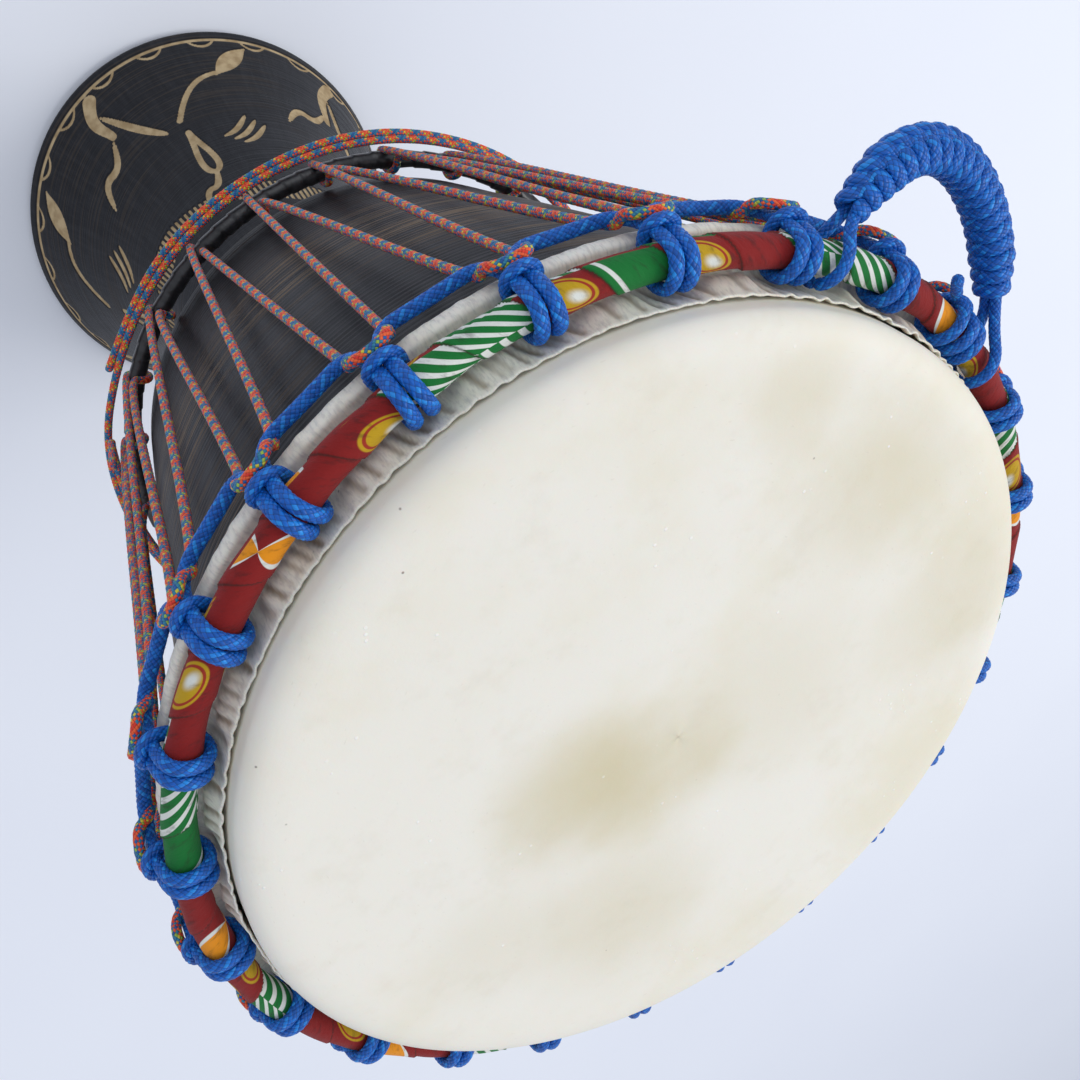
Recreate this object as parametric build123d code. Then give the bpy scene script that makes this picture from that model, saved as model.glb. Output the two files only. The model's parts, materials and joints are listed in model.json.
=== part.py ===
from build123d import *
from math import acos, atan2, cos, degrees, hypot, radians, sin
import os

# A rope-tuned goblet hand drum standing on its foot. Millimetres, +Z up through the head,
# origin at the centre of the foot's rim plane. Bearings are degrees about +Z from +X.

# Shell
HEIGHT = 613.3
HEAD_RADIUS = 160.0
FOOT_RADIUS = 123.4
FOOT_RIM = 6.0
FOOT_EDGE_ROUND = 4.0
MOUTH_RADIUS = 101.0
MOUTH_LAND = 20.0
WAIST_RADIUS = 66.0
WAIST_HEIGHT = 232.0
THROAT_RADIUS = 52.0
BEARING_ROUND = 10.0
BEARING_BEVEL = 3.0
BEARING_INNER_RADIUS = 146.5
WALL_BAND = 36.0

# Skin
SKIN = 1.0
LAYER_LAP = 0.05
TRIM_DROP = 14.0
TRIM_FLARE = 1.35
SEAT = 0.05

# Rings
LACING_COUNT = 24
BAY = 360 / LACING_COUNT
KNOT_BEARING = 12.6
CROWN_RADIUS = 172.2
CROWN_DROP = 22.5
CROWN_ROD = 4.0
CROWN_WRAPPED = 5.8
HOOP_RADIUS = 171.9
HOOP_BELOW_CROWN = 15.6
HOOP_ROD = 3.1
BOTTOM_RADIUS = 128.0
BOTTOM_HEIGHT = 327.0
BOTTOM_ROD = 3.0
BOTTOM_WRAPPED = 4.2

# Blue upper rope
BLUE = 2.1
HITCH_LOOP = 8.15
BAR_OUT = 12.3
BAR_DROP = 4.2
BAR_HALF = 6.6
STRAND_INSET = 2.5
FESTOON_OUT = 7.1
FESTOON_DROP = 24.0
HITCH_BEND = 7.6
BAR_BEND = 2.5
FESTOON_BEND = 4.0
HITCH_TANGENTS = (-125, -180, -240, -300, -360)
HITCH_SPREAD = 6.4

# Tension rope
LACE = 1.8
U_OUT = 11.6
U_DROP = 9.6
U_HALF = 5.5
SHOULDER_OUT = 9.6
SHOULDER_DROP = 17.0
SHOULDER_SIDE = 7.2
HOOK_OUT = 2.7
HOOK_DROP = 21.0
HOOK_SIDE = 7.5
LACE_BEND = 2.6
V_SHIFT = -5.0
V_LOOP = BOTTOM_WRAPPED + LACE + 0.05
V_SIDE = 0.8
V_BEND = 5.2
WINDING_OFF = 10.05
WINDING_ANGLES = (-32, -57)
WINDING_START = 322.6
TAIL_RISE = 34.0
TAIL_OUT = 5.0
TAIL_LEAD = 6.0

# Handle
LEFT_FOOT_BEARING = 217.6
RIGHT_FOOT_BEARING = 187.0
REST_ELEVATION = -12.0
ARCH_HEIGHT = 48.5
ARCH_SKEW = -6.0
ARCH_STEPS = 7
ARCH_END_ANGLE = 34.0
ARCH_BEND = 9.0
EYE_LOOP = 8.9
EYE_EXIT = 13.0
EYE_BEND = 8.3
CORE_HALF = 2.15
HITCH_TURNS = 20
WEAVE_START = 24.0
WEAVE_DEEP = 4.4
WEAVE_WIDE = 6.5
WEAVE_RIDGE = 6.6
WEAVE_BEND = 3.9
LASHING_KNOT_BEARING = 192.6
LASHING_SIDE = 10.9

CROWN_HEIGHT = HEIGHT - CROWN_DROP
HOOP_HEIGHT = CROWN_HEIGHT - HOOP_BELOW_CROWN
WALL_RADIUS = HEAD_RADIUS - SKIN


def spot(bearing, radius, height, side=0.0):
    """The point at a bearing, moved sideways along the tangent."""
    a = radians(bearing)
    return Vector(radius * cos(a) - side * sin(a), radius * sin(a) + side * cos(a), height)


def rope(points, bends, radius):
    """A round rope along straight runs joined by tangent arcs."""
    path = FilletPolyline(*points, radius=bends)
    return sweep(Plane(path @ 0, z_dir=path % 0) * Circle(radius), path=path)


def around(centre, loop, angles):
    """Corners (out, up) of straight runs that touch a loop about a centre at the given angles."""
    corners = []
    for start, end in zip(angles, angles[1:]):
        reach = loop / cos(radians(end - start) / 2)
        middle = radians(start + end) / 2
        corners.append((centre[0] + reach * cos(middle), centre[1] + reach * sin(middle)))
    return corners


def laced(unit):
    """One rope made of a unit repeated round the drum, each meeting the next face to face."""
    return Part() + [Rot(0, 0, BAY * i) * unit for i in range(LACING_COUNT)]


def hoop(radius, thickness, height):
    return Pos(0, 0, height) * Torus(radius, thickness)


def section(edges):
    return revolve(Face(Wire(edges)), Axis.Z)


def shell():
    top = HEIGHT - SKIN - SEAT
    outer_radius = WALL_RADIUS - SEAT
    band = HEIGHT - WALL_BAND
    round_height = HEIGHT - BEARING_ROUND
    crest = outer_radius - BEARING_ROUND + SKIN + SEAT
    outside = (
        (FOOT_RADIUS, FOOT_RIM),
        (113, 30),
        (98, 66),
        (81, 118),
        (70, 175),
        (WAIST_RADIUS, WAIST_HEIGHT),
        (76, 258),
        (97, 288),
        (119.0, BOTTOM_HEIGHT),
        (122.2, 341),
        (127.6, 370),
        (135.8, 412),
        (149.4, 490),
        (156.6, 545),
        (outer_radius, band),
    )
    inside = (
        (BEARING_INNER_RADIUS, top - 5 * BEARING_BEVEL),
        (143, 545),
        (136, 480),
        (121, 405),
        (108, 355),
        (93, 318),
        (70, 280),
        (THROAT_RADIUS, WAIST_HEIGHT),
        (57, 172),
        (69, 112),
        (87, 58),
        (MOUTH_RADIUS, MOUTH_LAND),
    )
    at = [Vector(r, 0, z) for r, z in outside]
    bore = [Vector(r, 0, z) for r, z in inside]
    rim_start = Vector(FOOT_RADIUS - FOOT_EDGE_ROUND, 0, 0)
    rim_middle = Vector(FOOT_RADIUS - FOOT_EDGE_ROUND / 4, 0, FOOT_RIM / 4)
    mouth = Vector(MOUTH_RADIUS, 0, 0)
    round_start = Vector(outer_radius, 0, round_height)
    quarter = (BEARING_ROUND - SKIN - SEAT) * cos(radians(45))
    round_middle = Vector(crest + quarter, 0, round_height + quarter)
    round_end = Vector(crest, 0, top)
    bevel = Vector(BEARING_INNER_RADIUS, 0, top - BEARING_BEVEL)
    return section([
        Edge.make_line(mouth, rim_start),
        Edge.make_three_point_arc(rim_start, rim_middle, at[0]),
        Edge.make_spline(at, tangents=[Vector(-0.15, 0, 1), Vector(0, 0, 1)]),
        Edge.make_line(at[-1], round_start),
        Edge.make_three_point_arc(round_start, round_middle, round_end),
        Edge.make_line(round_end, bevel),
        Edge.make_line(bevel, bore[0]),
        Edge.make_spline(bore, tangents=[Vector(0, 0, -1), Vector(0, 0, -1)]),
        Edge.make_line(bore[-1], mouth),
    ])


def drum_head():
    """The skin: over the head, down the wall, round the flesh hoop, back up to its trimmed edge."""
    half = SKIN / 2
    wall = HEAD_RADIUS - half
    fold = HOOP_ROD + SEAT + half
    back = wall + SKIN - LAYER_LAP
    corner = HOOP_RADIUS + fold
    down = FilletPolyline(
        (0, HEIGHT - half),
        (wall, HEIGHT - half),
        (wall, HOOP_HEIGHT - fold),
        (corner, HOOP_HEIGHT - fold),
        (corner, HOOP_HEIGHT + fold),
        (HOOP_RADIUS - fold, HOOP_HEIGHT + fold),
        radius=[BEARING_ROUND - half, 2 * SKIN, fold - SEAT, fold - SEAT],
    )
    up = FilletPolyline(
        (HOOP_RADIUS, HOOP_HEIGHT + fold),
        (back, HOOP_HEIGHT + fold),
        (back, CROWN_HEIGHT),
        (back + TRIM_FLARE, HEIGHT - TRIM_DROP),
        radius=[2 * SKIN, 2 * SKIN],
    )
    return revolve(Plane.XZ * (trace(down, SKIN) + trace(up, SKIN)), Axis.Z)


def flesh_hoop():
    return hoop(HOOP_RADIUS, HOOP_ROD, HOOP_HEIGHT)


def crown_ring():
    return hoop(CROWN_RADIUS, CROWN_ROD, CROWN_HEIGHT)


def crown_wrap():
    return hoop(CROWN_RADIUS, CROWN_WRAPPED, CROWN_HEIGHT) - crown_ring()


def bottom_ring():
    return hoop(BOTTOM_RADIUS, BOTTOM_ROD, BOTTOM_HEIGHT)


def bottom_ring_wrap():
    return hoop(BOTTOM_RADIUS, BOTTOM_WRAPPED, BOTTOM_HEIGHT) - bottom_ring()


def upper_rope():
    """Cow hitches on the wrapped crown ring: two strands over it, crossed outside by a bar."""
    reach = hypot(BAR_OUT, BAR_DROP)
    first = -degrees(atan2(BAR_DROP, BAR_OUT)) - degrees(acos(HITCH_LOOP / reach))
    corners = around((CROWN_RADIUS, CROWN_HEIGHT), HITCH_LOOP, (first,) + HITCH_TANGENTS)
    narrowing = (HITCH_SPREAD - STRAND_INSET) / (len(corners) - 1)
    foot_radius = CROWN_RADIUS + FESTOON_OUT
    foot_bearing = degrees(atan2(STRAND_INSET, foot_radius))
    middle_radius = hypot(foot_radius, STRAND_INSET) * cos(radians(BAY / 2 - foot_bearing))
    middle = spot(BAY / 2, middle_radius, CROWN_HEIGHT - FESTOON_DROP)
    half = [Vector(CROWN_RADIUS + BAR_OUT, BAR_HALF, CROWN_HEIGHT - BAR_DROP)]
    half += [Vector(r, HITCH_SPREAD - narrowing * i, z) for i, (r, z) in enumerate(corners)]
    half += [Vector(foot_radius, STRAND_INSET, CROWN_HEIGHT - FESTOON_DROP), middle]
    mirrored = [Vector(p.X, -p.Y, p.Z) for p in reversed(half)]
    bends = [BAR_BEND] + [HITCH_BEND] * len(corners) + [FESTOON_BEND]
    unit = rope(mirrored + half, bends[::-1] + bends, BLUE)
    return Rot(0, 0, KNOT_BEARING) * laced(unit)


def upper_rope_tail():
    """The rope's cut end, lying out along the wrapped ring from its last turn."""
    lift = CROWN_HEIGHT + BLUE
    out = CROWN_RADIUS + HITCH_LOOP
    points = (
        spot(LASHING_KNOT_BEARING, out + 0.4, lift, LASHING_SIDE + 2.1 * BLUE),
        spot(LASHING_KNOT_BEARING, out - 0.2, lift + BLUE, LASHING_SIDE + 4.5 * BLUE),
        spot(LASHING_KNOT_BEARING, out + BLUE, lift + 3 * BLUE, LASHING_SIDE + 8 * BLUE),
    )
    return rope(points, HITCH_LOOP, BLUE)


def crown_corner(bearing, out, drop, side):
    return spot(bearing, CROWN_RADIUS + out, CROWN_HEIGHT - drop, side)


def tension_rope():
    """Each unit: half a U over the blue rope, down, round the bottom ring, up to the next U."""
    hook = (CROWN_RADIUS + HOOK_OUT, CROWN_HEIGHT - HOOK_DROP)
    rise = hook[1] - BOTTOM_HEIGHT
    outer_lean = degrees(atan2(hook[0] - BOTTOM_RADIUS - V_LOOP, rise))
    inner_lean = degrees(atan2(hook[0] - BOTTOM_RADIUS + V_LOOP, rise))
    angles = (-outer_lean, -60, -120, -180 - inner_lean)
    corners = around((BOTTOM_RADIUS, BOTTOM_HEIGHT), V_LOOP, angles)
    points = [
        crown_corner(0, U_OUT, U_DROP, 0),
        crown_corner(0, U_OUT, U_DROP, -U_HALF),
        crown_corner(0, SHOULDER_OUT, SHOULDER_DROP, -SHOULDER_SIDE),
        crown_corner(0, HOOK_OUT, HOOK_DROP, -HOOK_SIDE),
    ]
    points += [spot(V_SHIFT, r, z, V_SIDE * (1 - i)) for i, (r, z) in enumerate(corners)]
    points += [
        crown_corner(-BAY, HOOK_OUT, HOOK_DROP, HOOK_SIDE),
        crown_corner(-BAY, SHOULDER_OUT, SHOULDER_DROP, SHOULDER_SIDE),
        crown_corner(-BAY, U_OUT, U_DROP, U_HALF),
        crown_corner(-BAY, U_OUT, U_DROP, 0),
    ]
    bends = [LACE_BEND] * 3 + [V_BEND] * 3 + [LACE_BEND] * 3
    return Rot(0, 0, KNOT_BEARING) * laced(rope(points, bends, LACE))


def waist_winding():
    """The spare tension rope: a tail, then two turns below and outside the laced bottom ring."""
    points = []
    for turn, angle in enumerate(WINDING_ANGLES):
        radius = BOTTOM_RADIUS + WINDING_OFF * cos(radians(angle))
        height = BOTTOM_HEIGHT + WINDING_OFF * sin(radians(angle))
        for i in range(LACING_COUNT):
            bearing = WINDING_START + BAY * i
            points.append(spot(bearing, radius / cos(radians(BAY / 2)), height))
    first = points[0]
    out = BOTTOM_RADIUS + WINDING_OFF + 1
    lead = spot(WINDING_START, out, first.Z + TAIL_LEAD, -TAIL_LEAD)
    tail = spot(WINDING_START, out + TAIL_OUT, first.Z + TAIL_RISE, -TAIL_LEAD)
    bends = [TAIL_LEAD / 2, TAIL_LEAD] + [0.9 * BOTTOM_RADIUS] * (len(points) - 2)
    return rope([tail, lead] + points, bends, LACE)


def handle_plane():
    """x from the left foot to the right one, y out along the arch, z across it."""
    span = (LEFT_FOOT_BEARING - RIGHT_FOOT_BEARING) / 2
    middle = (LEFT_FOOT_BEARING + RIGHT_FOOT_BEARING) / 2
    origin = spot(middle, CROWN_RADIUS * cos(radians(span)), CROWN_HEIGHT)
    along = Vector(sin(radians(middle)), -cos(radians(middle)), 0)
    rise = radians(REST_ELEVATION)
    out = Vector(cos(radians(middle)) * cos(rise), sin(radians(middle)) * cos(rise), sin(rise))
    return Plane(origin, x_dir=along, z_dir=along.cross(out))


def arch_half():
    return CROWN_RADIUS * sin(radians((LEFT_FOOT_BEARING - RIGHT_FOOT_BEARING) / 2))


def arch_corners():
    """Corners of the arch's centreline between its two exits, as (x, y)."""
    step = (180 - 2 * ARCH_END_ANGLE) / (ARCH_STEPS - 1)
    corners = []
    for i in range(ARCH_STEPS):
        a = radians(180 - ARCH_END_ANGLE - step * i)
        corners.append((arch_half() * cos(a) + ARCH_SKEW * sin(a) ** 2, ARCH_HEIGHT * sin(a)))
    return corners


def handle_core():
    """Two strands side by side through the handle, closed by an eye round the crown ring at each end."""
    exit_reach = hypot(EYE_EXIT, CORE_HALF)
    exit_angle = degrees(atan2(CORE_HALF, EYE_EXIT)) + degrees(acos(EYE_LOOP / exit_reach))
    eye = around((0, 0), EYE_LOOP, (180, (180 + exit_angle) / 2, exit_angle))
    a = arch_half()
    left = [Vector(-a, -EYE_LOOP, 0)] + [Vector(-a, y, z) for y, z in eye]
    right = [Vector(-p.X, p.Y, p.Z) for p in reversed(left)]
    exits = [Vector(-a, EYE_EXIT, CORE_HALF), Vector(a, EYE_EXIT, CORE_HALF)]
    arch = [Vector(x, y, CORE_HALF) for x, y in arch_corners()]
    points = left + [exits[0]] + arch + [exits[1]] + right
    bends = [EYE_BEND] * len(eye) + [ARCH_BEND / 2] + [ARCH_BEND] * len(arch)
    bends += [ARCH_BEND / 2] + [EYE_BEND] * len(eye)
    strand = rope(points, bends, BLUE)
    return handle_plane() * (strand + mirror(strand, Plane.XY))


def handle_hitching():
    """The covering rope, wound round the core with a ridge along the outside of the arch."""
    a = arch_half()
    ends = [(-a, EYE_EXIT), (a, EYE_EXIT)]
    line = FilletPolyline(ends[0], *arch_corners(), ends[1], radius=ARCH_BEND / 2)
    ring = (
        (WEAVE_RIDGE, 0),
        (WEAVE_DEEP, WEAVE_WIDE),
        (-WEAVE_DEEP, WEAVE_WIDE),
        (-WEAVE_DEEP, -WEAVE_WIDE),
        (WEAVE_DEEP, -WEAVE_WIDE),
    )
    trim = (WEAVE_START - EYE_EXIT) / line.length
    count = HITCH_TURNS * len(ring)
    points = []
    for i in range(count + 1):
        t = trim + (1 - 2 * trim) * i / count
        along = line % t
        out = Vector(-along.Y, along.X, 0)
        deep, wide = ring[i % len(ring)]
        points.append((line @ t) + out * deep + Vector(0, 0, wide))
    return handle_plane() * rope(points, WEAVE_BEND, BLUE)


def handle_lashing():
    """One turn of blue rope round the wrapped ring, on the far side of the knot by the right foot."""
    bearing = LASHING_KNOT_BEARING + degrees(LASHING_SIDE / CROWN_RADIUS)
    along = spot(bearing + 90, 1, 0)
    return Plane(spot(bearing, CROWN_RADIUS, CROWN_HEIGHT), z_dir=along) * Torus(HITCH_LOOP, BLUE)


NODES = (
    shell,
    drum_head,
    flesh_hoop,
    crown_ring,
    crown_wrap,
    upper_rope,
    upper_rope_tail,
    tension_rope,
    waist_winding,
    bottom_ring,
    bottom_ring_wrap,
    handle_core,
    handle_hitching,
    handle_lashing,
)

os.makedirs("parts", exist_ok=True)
for node in NODES:
    export_step(node(), f"parts/{node.__name__}.step")
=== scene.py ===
import json
import math

import bpy
import numpy as np
from mathutils import Matrix, Vector


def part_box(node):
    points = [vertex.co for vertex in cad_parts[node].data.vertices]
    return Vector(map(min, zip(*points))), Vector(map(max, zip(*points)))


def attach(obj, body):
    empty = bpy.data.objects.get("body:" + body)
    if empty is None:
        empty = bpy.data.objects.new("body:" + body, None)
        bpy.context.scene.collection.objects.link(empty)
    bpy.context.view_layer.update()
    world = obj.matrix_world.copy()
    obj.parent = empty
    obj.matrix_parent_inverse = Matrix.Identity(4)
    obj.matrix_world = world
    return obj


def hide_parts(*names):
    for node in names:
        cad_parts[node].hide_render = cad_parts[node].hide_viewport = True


# A rope-tuned goblet hand drum. Shapes are worked out in millimetres, in the CAD's frame, and
# scaled to metres once, in grid_object. Bearings are degrees about +Z from +X.
MM = 0.001

# Lacing, as in the CAD
LACING_COUNT = 24
BAY = 360 / LACING_COUNT
KNOT_BEARING = 12.6
BLUE = 2.1
LACE = 1.8
SKIN = 1.0

# Upper rope: distances from the crown ring's centre line
HITCH_LOOP = 8.15
BAR_OUT = 10.9
BAR_DROP = 5.4
BAR_HALF = 5.7
STRAND_INSET = 2.5
HITCH_SPREAD = 3.9
FESTOON_OUT = 7.1
FESTOON_DROP = 24.0
HITCH_TANGENTS = (-125, -180, -240, -300, -360)

# Tension rope
U_OUT = 11.8
U_DROP = 9.6
U_HALF = 5.9
SHOULDER_OUT = 9.8
SHOULDER_DROP = 17.0
SHOULDER_SIDE = 7.6
HOOK_OUT = 2.7
HOOK_DROP = 21.0
HOOK_SIDE = 7.5
V_SHIFT = -5.0
V_SIDES = (1.4, 0.2, -1.6)
WINDING_TURNS = ((8.9, -0.6), (11.2, -3.5))
WINDING_START = 322.6
TAIL_RISE = 34.0
TAIL_OUT = 5.0
TAIL_LEAD = 6.0

# Handle: sizes in its own plane, bearings and angles in degrees
LEFT_FOOT_BEARING = 217.6
RIGHT_FOOT_BEARING = 187.0
REST_ELEVATION = -12.0
ARCH_HEIGHT = 50.5
ARCH_SKEW = -8.0
ARCH_STEPS = 7
ARCH_END_ANGLE = 34.0
EYE_LOOP = 8.9
ARCH_STEP = 0.5
SNUG_RUN = 16
SNUG = 0.66
EYE_EXIT = 13.0
CORE_HALF = 2.15
HITCH_TURNS = 20
WEAVE_STARTS = (17.5, 22.5)
LASHING_KNOT_BEARING = 192.6
LASHING_SIDE = 10.9

# One turn of the handle's hitching: (out from the core, across the arch, share of a pitch)
HITCH_ROUTE = (
    (5.2, 3.6, 0.00),
    (3.0, 6.2, 0.02),
    (-2.8, 6.2, 0.06),
    (-5.0, 2.6, 0.10),
    (-5.0, -2.6, 0.14),
    (-2.8, -6.2, 0.18),
    (3.0, -6.2, 0.22),
    (5.8, -4.6, 0.20),
    (7.4, -1.8, 0.08),
    (7.9, 0.8, 0.22),
    (6.0, 2.2, 0.62),
)

# Braid: strands each way round a rope, and the length of one crossing
CARRIERS = 8
BLUE_PICK = 2.1
LACE_PICK = 1.3

# Skin
TRIM_DROP = 14.0
TRIM_FLARE = 0.9
PLEAT = 5.4
SKIN_SEGMENTS = 1200
BELLY = 3.4
LOOSE_BEARING = 172

# Shell
SHELL_SEGMENTS = 900
FOOT_ARC = 118.0
CARVE_DEPTH = 0.9
OUTSIDE = (
    (123.4, 6), (113, 30), (98, 66), (81, 118), (70, 175), (66, 232), (76, 258), (97, 288),
    (119, 327), (122.2, 341), (127.6, 370), (135.8, 412), (149.4, 490), (156.6, 545),
    (158.95, 577.3),
)
INSIDE = (
    (143, 545), (136, 480), (121, 405), (108, 355), (93, 318), (70, 280), (52, 232), (57, 172),
    (69, 112), (87, 58), (101, 20),
)

# Camera: place in millimetres, turns in radians, lens in millimetres
CAMERA_BACK = 373.448
CAMERA_HEIGHT = 894.155
CAMERA_YAW = -0.0316511
CAMERA_PITCH = 0.8299097
CAMERA_ROLL = 2.3920514
CAMERA_LENS = 42.726
SENSOR = 36

# Stage
FLOOR_HALF = 6000
WORLD_COLOUR = (0.86, 0.90, 1.0, 1)
WORLD_STRENGTH = 0.68
LIGHTS = (
    ("key", (-1.5, 0.9, 2.2), (0, 0, 0.5), 1.3, 28, (1.0, 0.98, 0.95)),
    ("fill", (-1.0, -1.9, 1.5), (0, 0, 0.5), 1.6, 7, (0.96, 0.98, 1.0)),
    ("back", (1.4, 1.2, 1.6), (0, 0, 0.4), 1.4, 5, (0.95, 0.97, 1.0)),
)

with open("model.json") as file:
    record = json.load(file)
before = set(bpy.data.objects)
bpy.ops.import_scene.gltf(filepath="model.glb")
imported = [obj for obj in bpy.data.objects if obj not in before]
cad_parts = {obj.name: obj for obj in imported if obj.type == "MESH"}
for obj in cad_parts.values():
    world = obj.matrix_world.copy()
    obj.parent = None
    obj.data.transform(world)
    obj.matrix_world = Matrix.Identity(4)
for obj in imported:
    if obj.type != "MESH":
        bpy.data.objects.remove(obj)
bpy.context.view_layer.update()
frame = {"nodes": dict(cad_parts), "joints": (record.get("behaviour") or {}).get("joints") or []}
rng = np.random.default_rng(7)


def ring(node):
    """Radius, height and section radius of a ring in the CAD frame."""
    low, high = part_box(node)
    section = (high.z - low.z) / 2 / MM
    return high.x / MM - section, (high.z + low.z) / 2 / MM, section


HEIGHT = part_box("drum_head")[1].z / MM
CROWN_RADIUS, CROWN_HEIGHT, CROWN_WRAPPED = ring("crown_wrap")
HOOP_RADIUS, HOOP_HEIGHT, HOOP_ROD = ring("flesh_hoop")
BOTTOM_RADIUS, BOTTOM_HEIGHT, BOTTOM_WRAPPED = ring("bottom_ring_wrap")
HEAD_RADIUS = 160.0


# ---------------------------------------------------------------- routes

def spot(bearing, radius, height, side=0.0):
    """The point at a bearing, moved sideways along the tangent."""
    a = math.radians(bearing)
    return np.array([
        radius * math.cos(a) - side * math.sin(a),
        radius * math.sin(a) + side * math.cos(a),
        height,
    ])


def around(centre, loop, angles):
    """Corners (out, up) of straight runs that touch a loop about a centre at the given angles."""
    corners = []
    for start, end in zip(angles, angles[1:]):
        reach = loop / math.cos(math.radians(end - start) / 2)
        middle = math.radians(start + end) / 2
        corners.append((centre[0] + reach * math.cos(middle), centre[1] + reach * math.sin(middle)))
    return corners


def spline_line(points, step, kind="NURBS", closed=False):
    """Even steps along a smooth spline: through its points if BEZIER, drawn by them if NURBS."""
    curve = bpy.data.curves.new("line", "CURVE")
    curve.dimensions = "3D"
    curve.resolution_u = 12
    spline = curve.splines.new(kind)
    if kind == "NURBS":
        spline.points.add(len(points) - 1)
        for control, p in zip(spline.points, points):
            control.co = (*p, 1)
        spline.order_u = 3
        spline.use_endpoint_u = True
    else:
        spline.bezier_points.add(len(points) - 1)
        for control, p in zip(spline.bezier_points, points):
            control.co = p
            control.handle_left_type = control.handle_right_type = "AUTO"
    spline.use_cyclic_u = closed
    holder = bpy.data.objects.new("line", curve)
    mesh = bpy.data.meshes.new_from_object(holder)
    line = np.array([v.co for v in mesh.vertices])
    bpy.data.objects.remove(holder)
    bpy.data.curves.remove(curve)
    bpy.data.meshes.remove(mesh)
    if closed:
        line = np.vstack([line, line[:1]])
    return even_steps(line, step)


def distance_along(line):
    return np.concatenate([[0], np.cumsum(np.linalg.norm(np.diff(line, axis=0), axis=1))])


def even_steps(line, step):
    run = distance_along(line)
    count = max(8, int(run[-1] / step))
    at = np.linspace(0, run[-1], count + 1)
    return np.stack([np.interp(at, run, line[:, i]) for i in range(3)], 1)


def unit(vectors):
    return vectors / np.maximum(np.linalg.norm(vectors, axis=-1, keepdims=True), 1e-9)


def tangents_of(line, closed):
    if closed:
        around_line = np.vstack([line[-2], line, line[1]])
        return unit(around_line[2:] - around_line[:-2])
    return unit(np.gradient(line, axis=0))


def carried_normals(tangents):
    """Normals carried along the line without twisting."""
    normal = np.cross(tangents[0], (0.3, 0.2, 1.0))
    carried = []
    for t in tangents:
        normal = normal - t * (normal @ t)
        normal = normal / np.linalg.norm(normal)
        carried.append(normal)
    return np.array(carried)


# ---------------------------------------------------------------- meshes

def grid_object(name, points, u, v, closed_rows=False, closed_columns=False, **marks):
    """A mesh of quads over rows and columns of points, with a UV for each row and column."""
    rows, columns = points.shape[:2]
    r = np.arange(rows if closed_rows else rows - 1)
    c = np.arange(columns if closed_columns else columns - 1)
    r0, c0 = np.meshgrid(r, c, indexing="ij")
    r1, c1 = (r0 + 1) % rows, (c0 + 1) % columns
    near_row, far_row = r0 * columns, r1 * columns
    corners = np.stack([near_row + c0, near_row + c1, far_row + c1, far_row + c0], -1)
    corners = corners.reshape(-1, 4)
    us = np.stack([u[c0], u[c0 + 1], u[c0 + 1], u[c0]], -1)
    vs = np.stack([v[r0], v[r0], v[r0 + 1], v[r0 + 1]], -1)
    mesh = bpy.data.meshes.new(name)
    mesh.vertices.add(rows * columns)
    mesh.vertices.foreach_set("co", (points * MM).astype(np.float32).ravel())
    mesh.loops.add(corners.size)
    mesh.loops.foreach_set("vertex_index", corners.astype(np.int32).ravel())
    mesh.polygons.add(len(corners))
    mesh.polygons.foreach_set("loop_start", np.arange(0, corners.size, 4, dtype=np.int32))
    mesh.polygons.foreach_set("use_smooth", np.ones(len(corners), bool))
    layer = mesh.uv_layers.new(name="UVMap")
    layer.uv.foreach_set("vector", np.stack([us, vs], -1).astype(np.float32).ravel())
    for mark, values in marks.items():
        stored = mesh.attributes.new(mark, "FLOAT", "POINT")
        stored.data.foreach_set("value", values.astype(np.float32).ravel())
    mesh.update(calc_edges=True)
    mesh.validate()
    made = bpy.data.objects.new(name, mesh)
    bpy.context.scene.collection.objects.link(made)
    return made


def finish_piece(piece, material, body, slot, *nodes):
    piece.data.materials.append(material)
    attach(piece, body)
    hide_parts(*nodes)
    return piece


def braid_height(u, v, pick):
    """Height, 0 to 1, of a braid whose strands pass over and under each other."""
    a, b = CARRIERS * u + v / pick, CARRIERS * u - v / pick
    even = (np.floor(a) + np.floor(b)) % 2 == 0
    across = np.where(even, a % 1, b % 1)
    along = np.where(even, b % 1, a % 1)
    return np.sin(np.pi * across) * (0.55 + 0.45 * np.sin(np.pi * along))


def tube(name, line, radius, pick, columns, closed=False, normals=None,
         widen=1.0, thin=1.0, swell=1.0):
    """A braided rope along a line. Open ends are rounded, as melted ends are."""
    tangents = tangents_of(line, closed)
    if normals is None:
        normals = carried_normals(tangents)
    normals = unit(normals - tangents * np.sum(normals * tangents, -1, keepdims=True))
    sides = np.cross(tangents, normals)
    run = distance_along(line)
    u = np.arange(columns + 1) / columns
    swell = np.broadcast_to(swell, run.shape)[:, None]
    scale = radius * swell * (0.93 + 0.12 * braid_height(u[None, :-1], run[:, None], pick))
    if not closed:
        nearest = np.minimum(run, run[-1] - run) / radius
        scale = scale * np.sqrt(np.clip(1 - (1 - np.clip(nearest, 0, 1)) ** 2, 0.0, 1))[:, None]
    angle = 2 * np.pi * u[None, :-1, None]
    ring_out = normals[:, None] * np.cos(angle) * thin + sides[:, None] * np.sin(angle) * widen
    points = line[:, None] + ring_out * scale[..., None]
    if closed:
        return grid_object(name, points[:-1], u, run, True, True)
    return grid_object(name, points, u, run, False, True)


def outward(line):
    """Away from the drum's axis and a little up, at each point of a line."""
    return unit(line * (1, 1, 0)) + np.array((0, 0, 0.35))


def wobble(angle, wavelength, radius, harmonics=5):
    """A smooth repeating unevenness round the drum, about -1 to 1, with a typical wavelength."""
    base = 2 * np.pi * radius / wavelength
    total = np.zeros_like(angle)
    for _ in range(harmonics):
        waves = max(1, round(base * rng.uniform(0.6, 1.4)))
        total = total + np.sin(waves * angle + rng.uniform(0, 2 * np.pi))
    return total / math.sqrt(harmonics)


# ---------------------------------------------------------------- materials

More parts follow.
